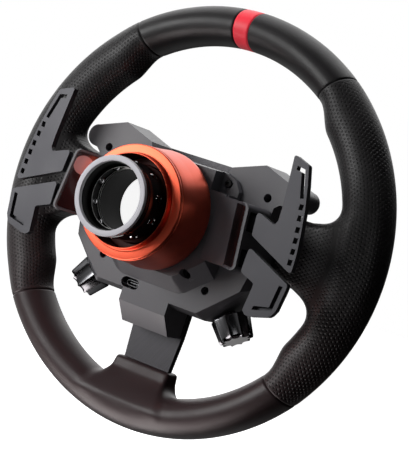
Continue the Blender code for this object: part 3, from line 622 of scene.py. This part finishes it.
def turn_in(mesh, limits, depth=0.8, width=1.5):
    """Rolls the leather's edge down into the seam at both ends of a section."""
    points = mesh_points(mesh)
    rho = np.hypot(points[:, 0], points[:, 2])
    half, _ = rim_half(np.degrees(np.arcsin(np.clip(points[:, 2] / rho, -1, 1))))
    middle = RIM_OUTER - half
    centre = np.stack([points[:, 0] / rho * middle, np.zeros(len(rho)), points[:, 2] / rho * middle], 1)
    outwards = points - centre
    outwards /= np.maximum(np.linalg.norm(outwards, axis=1), 1e-6)[:, None]
    share = np.clip(1 - distance_to_seams(points, limits) / width, 0, 1)
    set_points(mesh, points - outwards * (depth * share ** 2.4)[:, None])


def leather_coordinates(mesh, over_spoke, limits):
    """Flat coordinates in mm for the perforation, along and round the rim or straight across a spoke, and how
    far each corner is from a change between them or a seam, where the holes stop."""
    points = mesh_points(mesh)
    loops = np.zeros(len(mesh.loops), int)
    mesh.loops.foreach_get("vertex_index", loops)
    rho = np.hypot(points[:, 0], points[:, 2])
    half, _ = rim_half(np.degrees(np.arcsin(np.clip(points[:, 2] / rho, -1, 1))))
    turn = np.arctan2(points[:, 1], rho - RIM_OUTER + half)
    along = np.arctan2(points[:, 2], np.abs(points[:, 0])) * RIM_MIDDLE
    margin = distance_to_seams(points, limits)
    over = spoke_field(points) - rim_field(points) + 1.0
    if over_spoke:
        margin = np.minimum(margin, np.abs(over) * 1.2)
    tube = np.stack([along, turn * GRIP_HALF[0], margin], 1)
    flat = np.stack([points[:, 2], points[:, 0], margin], 1)
    values = tube[loops]
    if over_spoke:
        for polygon in mesh.polygons:
            corner = list(polygon.loop_indices)
            if (over[loops[corner]] < 0).any():
                values[corner] = flat[loops[corner]]
            elif np.ptp(values[corner, 1]) > 20:  # the seam of the round coordinate, on the inside
                column = values[corner, 1]
                values[corner, 1] = np.where(column < 0, column + 2 * math.pi * GRIP_HALF[0], column)
    attribute = mesh.attributes.new("leather", "FLOAT_VECTOR", "CORNER")
    attribute.data.foreach_set("vector", values.astype(np.float32).ravel())
    mesh.update()


def leather_section(name, limits, material, field, extra=(), voxel=1.5, spread_out=4.0):
    """One wrapped section: swept, joined to what it covers, drawn onto its smooth field, cut at the seams."""
    low, high = sorted(limits)
    sweep = rings_mesh(name, sweep_rings(low - spread_out, high + spread_out))
    mesh = remeshed([sweep, *extra], voxel)
    mesh.name = name
    ended = field_of_section(field, low - spread_out, high + spread_out)
    set_points(mesh, onto_surface(mesh_points(mesh), ended))
    mesh = trimmed(mesh, (low, high))
    turn_in(mesh, (low, high))
    leather_coordinates(mesh, material is GRIP_LEATHER, (low, high))
    smooth(mesh, 50)
    piece = new_piece(name + "_leather", mesh, material, nodes=(name,))


def field_of_section(field, low, high):
    """The field, ended flat at two angles, so that a section's end caps stay where they are."""
    middle, half = math.radians((low + high) / 2), math.radians((high - low) / 2)

    def made(p):
        angle = np.arctan2(p[:, 2], p[:, 0])
        away = np.abs((angle - middle + math.pi) % (2 * math.pi) - math.pi)
        return np.maximum(field(p), (away - half) * np.hypot(p[:, 0], p[:, 2]))

    return made


def box_mesh(name, corners):
    """A closed mesh through rings of (x, y, z) corners in mm."""
    return rings_mesh(name, [world(ring) for ring in corners])


def leather_rim():
    """Six sections round the rim; two of them also cover a horizontal spoke and one the bottom spoke."""
    for word, limits in (("right", (GRIP_TOP + SEAM, 90 - STRIPE - SEAM)),
                         ("left", (90 + STRIPE + SEAM, 180 - GRIP_TOP - SEAM))):
        leather_section(f"rim_top_wrap_{word}", limits, LEATHER, rim_field)
    leather_section("centre_stripe", (90 - STRIPE, 90 + STRIPE), RED_LEATHER, rim_field,
                    voxel=1.2)
    for word, side in SIDES.items():
        limits = (GRIP_BOTTOM + SEAM, GRIP_TOP - SEAM)
        if side < 0:
            limits = (180 - limits[1], 180 - limits[0])
        sleeve = box_mesh("sleeve", [
            [(side * x, -depth - 3, low), (side * x, -depth - 3, high), (side * x, depth - 1, high),
             (side * x, depth - 1, low)]
            for x, high, low, depth in SPOKE_STATIONS
        ])
        leather_section(f"grip_wrap_{word}", limits, GRIP_LEATHER, grip_field, (sleeve,))
    pocket = box_mesh("pocket", [
        [(-half, front, -z), (half, front, -z), (half, back, -z), (-half, back, -z)]
        for z, half, front, back in POCKET_STATIONS
    ])
    limits = (180 - GRIP_BOTTOM + SEAM, 360 + GRIP_BOTTOM - SEAM)
    leather_section("rim_bottom_wrap", limits, LEATHER, bottom_field, (pocket,), voxel=1.3)


# ---------------------------------------------------------------- casings and other CAD pieces


def refined(name, material, width, segments=2, flatten=True):
    """Gives a CAD node its material and edges rounded by a width in mm. Its flat facets are joined first,
    unless it has small holes, which that breaks."""
    piece = frame["nodes"][name]
    weld = piece.modifiers.new("weld", "WELD")
    weld.merge_threshold = 1e-5
    if flatten:
        flat = piece.modifiers.new("flat_faces", "DECIMATE")
        flat.decimate_type = "DISSOLVE"
        flat.angle_limit = math.radians(1.0)
    edge = piece.modifiers.new("rounded_edges", "BEVEL")
    edge.width = width * MM
    edge.segments = segments
    edge.limit_method = "ANGLE"
    edge.angle_limit = math.radians(30)
    edge.miter_outer = "MITER_ARC"
    coated(piece.data, material)
    for polygon in piece.data.polygons:
        polygon.use_smooth = True
    normals = piece.modifiers.new("normals", "WEIGHTED_NORMAL")
    normals.keep_sharp = False
    normals.weight = 100


def casings():
    refined("rear_cover", PLASTIC, 0.9, 3)
    refined("front_housing", PLASTIC, 0.8, 3)
    refined("paddle_module_cover", PLASTIC, 0.8, 3)
    refined("front_faceplate", FACE_METAL, 0.4)
    refined("spoke_frame", FRAME_METAL, 0.4)
    for word in SIDES:
        refined(f"module_window_{word}", WINDOWS[word], 0.25)
        refined(f"upper_paddle_{word}", PADDLE, 0.25, flatten=False)
        refined(f"lower_paddle_{word}", PADDLE, 0.25, flatten=False)
        refined(f"paddle_pin_{word}", STEEL, 0.2)
        refined(f"knob_encoder_{word}", STEEL, 0.2)
        refined(f"stick_gimbal_{word}", STEEL, 0.2)
        refined(f"paddle_board_{word}", CIRCUIT, 0.1)
    refined("main_circuit_board", CIRCUIT, 0.1)
    refined("usb_c_socket", SOCKET_STEEL, 0.1)


def disc_face(mesh, material, faces):
    """Gives some of a mesh's faces a second material."""
    indices = [face.index for face in faces]
    mesh.materials.append(material)
    for index in indices:
        mesh.polygons[index].material_index = len(mesh.materials) - 1


def merged(name, meshes):
    """One mesh from several, keeping each one's material."""
    bm = bmesh.new()
    made = bpy.data.meshes.new(name)
    for mesh in meshes:
        material = mesh.materials[0]
        if material.name not in made.materials:
            made.materials.append(material)
        index = list(made.materials).index(material)
        before = len(bm.faces)
        bm.from_mesh(mesh)
        bm.faces.ensure_lookup_table()
        for face in bm.faces[before:]:
            face.material_index = index
    bm.to_mesh(made)
    bm.free()
    return made


def coated(mesh, material):
    mesh.materials.clear()
    mesh.materials.append(material)
    return mesh


# ---------------------------------------------------------------- quick release


def thread_profile(radius, low, high, pitch=0.95, depth=0.5):
    """Points of fine square grooves round a cylinder, from low to high."""
    points, height = [], low
    while height + pitch <= high + 1e-6:
        points += [(radius, height), (radius, height + 0.40), (radius - depth, height + 0.50),
                   (radius - depth, height + 0.80)]
        height += pitch
    return points


def torus_profile(radius, height, wire, steps=8):
    """A round wire's section."""
    turns = [2 * math.pi * i / steps for i in range(steps)]
    return [(radius + wire * math.cos(turn), height + wire * math.sin(turn)) for turn in turns]


def ball_places():
    """Centre and direction of each locking ball, in mm from the rim's middle plane."""
    for i in range(BALL_COUNT):
        angle = 2 * math.pi * (i + 0.5) / BALL_COUNT
        out = Matrix.Rotation(angle, 3, "Y") @ Vector((1, 0, 0))
        yield out * BALL_CIRCLE + Vector((0, BALL_DEPTH, 0)), out


def ball_mesh(centre):
    bm = bmesh.new()
    bmesh.ops.create_icosphere(bm, subdivisions=3, radius=BALL_RADIUS * MM)
    bmesh.ops.translate(bm, verts=bm.verts, vec=Vector(world(centre)))
    mesh = bpy.data.meshes.new("ball")
    bm.to_mesh(mesh)
    bm.free()
    return coated(smooth(mesh, 80), STEEL)


def sleeve_mesh():
    """The gloss black sleeve with its grooves near the end ring and a window for each ball."""
    low, high, bore_radius = 56.3, 103.2, 22.0
    outside = [(25.6, low), (25.6, 98.6), (25.2, 99.0), *thread_profile(25.3, 99.3, 103.0), (25.2, high)]
    inside = [(bore_radius, high), (bore_radius, low)]
    mesh = lathe("quick_release_sleeve_turned", outside + inside, around=160, hollow=True)
    bore = [f for f in mesh.polygons if math.hypot(f.center.x, f.center.z) < (bore_radius + 0.3) * MM]
    coated(mesh, GLOSS_BLACK)
    # The bore takes the painted shade.
    disc_face(mesh, BLACK_PAINTED_SHADE, bore)
    cutters = [lathe("window", [(WINDOW_RADIUS, 17), (WINDOW_RADIUS, 25.0), (WINDOW_RADIUS + 0.8, 26.4)],
                     at=(0, BALL_DEPTH, 0), axis=out, around=32) for _, out in ball_places()]
    return carved(mesh, cutters, angle=25)


def collar_profile():
    lip = [(30.4, 86.6), (30.7, 87.0), (31.1, 87.0), (31.4, 86.7)]
    flare = [(31.45, 85.2), (31.5, 83.6), (31.6, 82.4), (31.8, 81.9), (32.2, 81.7)]
    rim = [(33.0, 81.6), (37.4, 81.4), (37.9, 80.9), (38.0, 79.2), (37.4, 78.9), (37.4, 78.5), (38.1, 78.2)]
    side = [(38.4, 71.0), (38.9, 62.0), (40.0, 50.5), (40.2, 49.0), (40.2, 45.9), (39.8, 45.5), (35.0, 45.5)]
    inside = [(35.0, 58.0), (31.0, 58.0), (31.0, 73.5), (30.4, 74.5)]
    return lip + flare + rim + side + inside


def collar_spring():
    """The collar's spring, wound round the wheel's axis."""
    steps, around, rings = 160, 10, []
    for i in range(steps + 1):
        angle = 2 * math.pi * SPRING_TURNS * i / steps
        height = SPRING_LOW + (SPRING_HIGH - SPRING_LOW) * i / steps
        section = torus_profile(SPRING_RADIUS, height, SPRING_WIRE, around)
        rings.append(world([(reach * math.cos(angle), y, reach * math.sin(angle)) for reach, y in section]))
    mesh = rings_mesh("collar_spring_wound", rings, angle=50)
    piece = new_piece("collar_spring_wound", mesh, STEEL, nodes=("collar_spring",))
    end = world((0, SPRING_LOW - SPRING_WIRE, 0)).tolist()
    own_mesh(piece)


def turned_piece(name, profile, material, node_name, rounding, around=128):
    """A ring turned about the wheel's axis, with rounded edges, standing for a CAD node."""
    mesh = lathe(name, soften(profile, rounding, True), around=around, hollow=True)
    new_piece(name, mesh, material, nodes=(node_name,))


def collar():
    """The collar is orange outside, with painted shade on the faces inside its lip."""
    mesh = lathe("quick_release_collar_turned", soften(collar_profile(), 0.2, True), around=192, hollow=True)
    coated(mesh, ORANGE)
    top = world((0, 86.5, 0))[1]
    disc_face(mesh, ORANGE_PAINTED_SHADE, [f for f in mesh.polygons if f.center.y < top
                                   and math.hypot(f.center.x, f.center.z) < 31.2 * MM])
    new_piece("quick_release_collar_turned", mesh, ORANGE, "collar", ("quick_release_collar",))


def ball_cage():
    """The locking balls with the washers and thin bright wires that hold them."""
    washers = [[(20.5, low), (20.5, low + 0.6), (21.9, low + 0.6), (21.9, low)] for low in (94.4, 84.0)]
    wires = [torus_profile(*wire) for wire in ((20.25, 94.9, 0.24), (20.5, 87.2, 0.18), (20.7, 84.9, 0.12))]
    rings = [coated(lathe("cage_washer", profile, hollow=True), BLACK_PAINTED_SHADE) for profile in washers]
    rings += [coated(lathe("cage_wire", profile, hollow=True), WIRE) for profile in wires]
    cage = merged("ball_cage_polished", [ball_mesh(centre) for centre, _ in ball_places()] + rings)
    new_piece("ball_cage_polished", cage, STEEL, nodes=("ball_cage",))


def quick_release():
    collar()
    # The hub and the clamp ring take the painted-shade orange.
    turned_piece("quick_release_hub_turned",
                 [(6, -3.7), (34.8, -3.7), (34.8, 2), (30.7, 2), (30.7, 56), (6, 56)],
                 ORANGE_PAINTED_SHADE, "quick_release_hub", 0.4)
    turned_piece("sleeve_clamp_turned",
                 [(25.9, 56.3), (30.7, 56.3), (30.7, 69.4), (30.1, 70), (26.3, 70), (25.9, 69.6)],
                 ORANGE_PAINTED_SHADE, "sleeve_clamp_ring", 0.2)
    new_piece("quick_release_sleeve_turned", sleeve_mesh(), GLOSS_BLACK, nodes=("quick_release_sleeve",))
    turned_piece("quick_release_ring_turned",
                 [(22.3, 103.5), (25.6, 103.5), (26.2, 104.1), (26.2, 106.0), (25.9, 106.4), (22.6, 106.4),
                  (22.3, 106.1)],
                 RING_GREY, "quick_release_ring", 0.15, around=160)
    ball_cage()
    disc = lathe("coupling_disc_turned", [(21.2, 56.3), (21.2, 58.0), (20.9, 58.3), (5, 58.3)], around=128)
    new_piece("coupling_disc_turned", disc, PALE, nodes=("coupling_disc",))
    collar_spring()


# ---------------------------------------------------------------- knobs, screws and front controls


def scallop(angle):
    """Rounded valleys between narrow ridges, from 0 on a ridge to 1 in the middle of a valley."""
    turn = (angle * KNOB_FLUTES / (2 * math.pi)) % 1.0
    return 1 - abs(2 * turn - 1) ** 2.4


def knob_flute(angle, radius, height):
    """The valleys deepen towards the end, where they notch its rounded edge."""
    depth = 1.0 + 2.0 * max(0.0, min(1.0, (height - 13.0) / 2.1)) ** 1.5
    return depth * scallop(angle) if radius > KNOB_LEAST_FLUTED else 0.0


def knobs():
    profile = [(12.4, -1.6), (13.1, -1.3), (13.4, -0.8), (13.4, 0.0), (12.6, 6.5), (11.9, 12.6), (11.8, 13.6),
               (11.6, 14.4), (11.2, 15.0), (10.7, 15.2), (7.5, 15.2), (0.5, 15.2)]
    for word, side in SIDES.items():
        place = {"at": (side * KNOB_BASE[0], *KNOB_BASE[1:]), "axis": (side * KNOB_AXIS[0], *KNOB_AXIS[1:])}
        body = lathe("knob_body", profile, around=240, flute=knob_flute, **place)
        axis, base = Vector(place["axis"]).normalized(), Vector(world(place["at"]))
        coated(body, KNOB_BLACK)
        # The stem is painted black for the shade at the knob's base.
        stem = coated(lathe("knob_stem", [(2.2, -15), (2.2, 0)], around=32, **place), BLACK_PAINTED_SHADE)
        name = f"lower_knob_{word}"
        mesh = merged(name + "_fluted", [body, stem])
        disc_face(mesh, KNOB_FACE, [f for f in mesh.polygons if f.normal.dot(axis) > 0.97
                                    and (f.center - base).dot(axis) > KNOB_END_FACE * MM])
        new_piece(name + "_fluted", mesh, KNOB_BLACK, name, (name,))


def hexagon_cut(angle, radius, _height):
    """Takes a screw's recess to a hexagon; the shaft and the head's outside stay round."""
    if not SCREW_SHAFT < radius < HEXAGON_ACROSS * 0.6:
        return 0.0
    return radius - HEXAGON_ACROSS / 2 / math.cos((angle + math.pi / 6) % (math.pi / 3) - math.pi / 6)


def cap_screw(name, x, z, head_low, head_high, tip):
    """A socket screw along the wheel's axis; the heights are in mm from the rim's middle plane."""
    profile = [(1.0, tip), (1.2, tip + 0.3), (1.2, head_low), (2.3, head_low), (2.5, head_low + 0.2),
               (2.5, head_high - 0.35), (2.4, head_high - 0.1), (2.15, head_high), (1.3, head_high),
               (1.3, head_high - 1.4)]
    mesh = lathe(name + "_turned", profile, at=(x, 0, z), around=48, flute=hexagon_cut, angle=30)
    new_piece(name + "_turned", mesh, SCREW_BLACK_PAINTED_SHADE, nodes=(name,))


def screws():
    for word, side in SIDES.items():
        cap_screw(f"cover_screw_upper_{word}", side * 65.3, 30.0, 8.5, 11.7, -7.6)
        cap_screw(f"cover_screw_lower_{word}", side * 42.4, -41.0, 18.6, 21.8, -7.6)
        cap_screw(f"module_screw_upper_{word}", side * 36.5, 31.0, 29.0, 31.4, 22)
        cap_screw(f"module_screw_lower_{word}", side * 31.5, -34.0, 29.0, 31.4, 22)


def knurl(count, depth, least):
    """Rounded teeth round the parts of a profile beyond a radius."""
    def flute(angle, radius, _height):
        return depth * (0.5 + 0.5 * math.cos(count * angle)) if radius > least else 0.0
    return flute


def front_buttons(word, side):
    """Five buttons on an arc, each in its bezel."""
    cap = [(0.6, -31.35), (3.6, -31.45), (4.9, -31.75), (5.4, -31.75), (5.9, -31.45), (6.2, -30.9),
           (6.2, -22.7), (7.4, -22.6), (7.4, -21.2), (3, -21.1), (3, -17)]
    bezel = [(6.7, -28.4), (6.7, -29.0), (6.95, -29.2), (8.0, -29.2), (8.4, -28.9), (8.4, -28.4)]
    bezels = []
    for number, angle in enumerate(BUTTON_ANGLES, 1):
        turn = math.radians(angle)
        at = (side * BUTTON_ELLIPSE[0] * math.cos(turn), 0, BUTTON_ELLIPSE[1] * math.sin(turn))
        name = f"button_{word}_{number}"
        mesh = lathe(name + "_cap", soften(cap, 0.15), at=at, around=64)
        new_piece(name + "_cap", mesh, RUBBER, name, (name,))
        bezels.append(coated(lathe("bezel", soften(bezel, 0.12, True), at=at, around=64, hollow=True),
                             GLOSS_BLACK))
    name = f"button_bezels_{word}"
    new_piece(name, merged(name, bezels), GLOSS_BLACK)


def front_dial(word, side):
    """A knurled dial with a pointer line."""
    dial = [(0.6, -40.7), (7.4, -40.7), (7.8, -41.0), (8.6, -41.0), (9.3, -40.5), (9.5, -39.8), (9.5, -31.0),
            (9.3, -29.6), (9.0, -29.2), (3.0, -29.1), (3.0, -18)]
    name, x = f"front_dial_{word}", side * DIAL_X
    mesh = lathe(name + "_knurled", dial, at=(x, 0, 0), around=240, flute=knurl(30, 0.3, 9.2))
    new_piece(name + "_knurled", mesh, GLOSS_BLACK, name, (name,))
    outline = ((-0.5, 2.5), (0.5, 2.5), (0.5, 7.0), (-0.5, 7.0))
    pointer = box_mesh("pointer", [[(x + across, y, z) for across, z in outline] for y in (-40.6, -40.95)])
    new_piece(name + "_pointer", pointer, PALE_MARK, name)


def thumb_stick(word, side):
    stick = [(0.5, -18.7), (2.7, -18.9), (3.5, -19.3), (4.1, -19.3), (4.6, -18.9), (4.8, -18.2), (4.8, -16.6),
             (4.2, -16.2), (2.4, -15.4), (2.2, -14.8), (2.2, -2.0)]
    name = f"thumb_stick_{word}"
    mesh = lathe(name + "_cap", stick, at=(side * STICK_X, 0, STICK_Z), around=120, flute=knurl(20, 0.2, 4.7))
    new_piece(name + "_cap", mesh, RUBBER, name, (name,))


def front_controls():
    for word, side in SIDES.items():
        front_buttons(word, side)
        front_dial(word, side)
        thumb_stick(word, side)


# ---------------------------------------------------------------- floor, light and camera


def aimed(location, target):
    return (Vector(target) - Vector(location)).to_track_quat("-Z", "Y")


def area_light(name, location, size, power, colour, mirrored):
    """A disc light; `mirrored` says whether reflections see it."""
    data = bpy.data.lights.new(name, "AREA")
    data.shape, data.size, data.energy, data.color = "DISK", size, power, colour
    light = bpy.data.objects.new(name, data)
    light.location = location
    light.rotation_mode = "QUATERNION"
    light.rotation_quaternion = aimed(location, LIGHT_TARGET)
    light.visible_glossy = mirrored
    bpy.context.scene.collection.objects.link(light)


def camera():
    azimuth, elevation, roll = map(math.radians, (CAMERA_AZIMUTH, CAMERA_ELEVATION, CAMERA_ROLL))
    back = Vector((math.sin(azimuth) * math.cos(elevation), -math.cos(azimuth) * math.cos(elevation),
                   math.sin(elevation)))
    data = bpy.data.cameras.new("camera")
    data.lens, data.sensor_width = CAMERA_LENS, CAMERA_SENSOR
    made = bpy.data.objects.new("camera", data)
    made.location = CAMERA_PLACE
    made.rotation_mode = "QUATERNION"
    made.rotation_quaternion = (-back).to_track_quat("-Z", "Y") @ Quaternion((0, 0, 1), roll)
    bpy.context.scene.collection.objects.link(made)
    bpy.context.scene.camera = made


def lobe(tree, direction, aim, inner, outer, strength):
    """Light from round a direction: full within `inner` degrees of it and none beyond `outer`."""
    near = node(tree, "ShaderNodeVectorMath", operation="DOT_PRODUCT")
    link(tree, direction, near.inputs[0])
    near.inputs[1].default_value = Vector(aim).normalized()
    return spread(tree, near.outputs["Value"], 0, strength, math.cos(math.radians(outer)),
                  math.cos(math.radians(inner)))


def studio_world():
    """White to the camera, a weak even fill to matte surfaces, and patches of light to reflections."""
    made = bpy.data.worlds.new("studio")
    made.use_nodes = True
    tree = made.node_tree
    background = tree.nodes["Background"]
    direction = node(tree, "ShaderNodeTexCoord").outputs["Generated"]
    total, *others = [lobe(tree, direction, *values) for values in WORLD_LOBES]
    for extra in others:
        total = calculated(tree, "MAXIMUM", total, extra)
    path = node(tree, "ShaderNodeLightPath").outputs
    glossy = calculated(tree, "MULTIPLY", total, path["Is Glossy Ray"])
    fill = calculated(tree, "MULTIPLY_ADD", path["Is Diffuse Ray"], DIFFUSE_FILL, glossy)
    strength = calculated(tree, "MAXIMUM", path["Is Camera Ray"], fill)
    link(tree, strength, background.inputs["Strength"])
    background.inputs["Color"].default_value = (1, 1, 1, 1)
    bpy.context.scene.world = made


def floor():
    mesh = bpy.data.meshes.new("floor")
    around = 64
    turns = [2 * math.pi * i / around for i in range(around)]
    ring = [(FLOOR_RADIUS * math.cos(turn), FLOOR_RADIUS * math.sin(turn), FLOOR_HEIGHT) for turn in turns]
    mesh.from_pydata(ring, [], [tuple(range(around))])
    made = bpy.data.objects.new("floor", mesh)
    bpy.context.scene.collection.objects.link(made)
    material, _, _ = new_material("pale_floor", Base_Color=(0.85, 0.85, 0.86, 1), Roughness=0.9,
                                  Emission_Color=(1, 1, 1, 1), Emission_Strength=1.0)
    mesh.materials.append(material)
    made.visible_diffuse = made.visible_glossy = False


def studio():
    camera()
    studio_world()
    bpy.context.scene.view_settings.view_transform = "Standard"
    floor()
    for values in LIGHTS:
        area_light(*values)


# Every CAD node starts in steel; `casings` changes the material of those it refines.
for piece in frame["nodes"].values():
    coated(piece.data, STEEL)
casings()
quick_release()
knobs()
screws()
front_controls()
leather_rim()
studio()
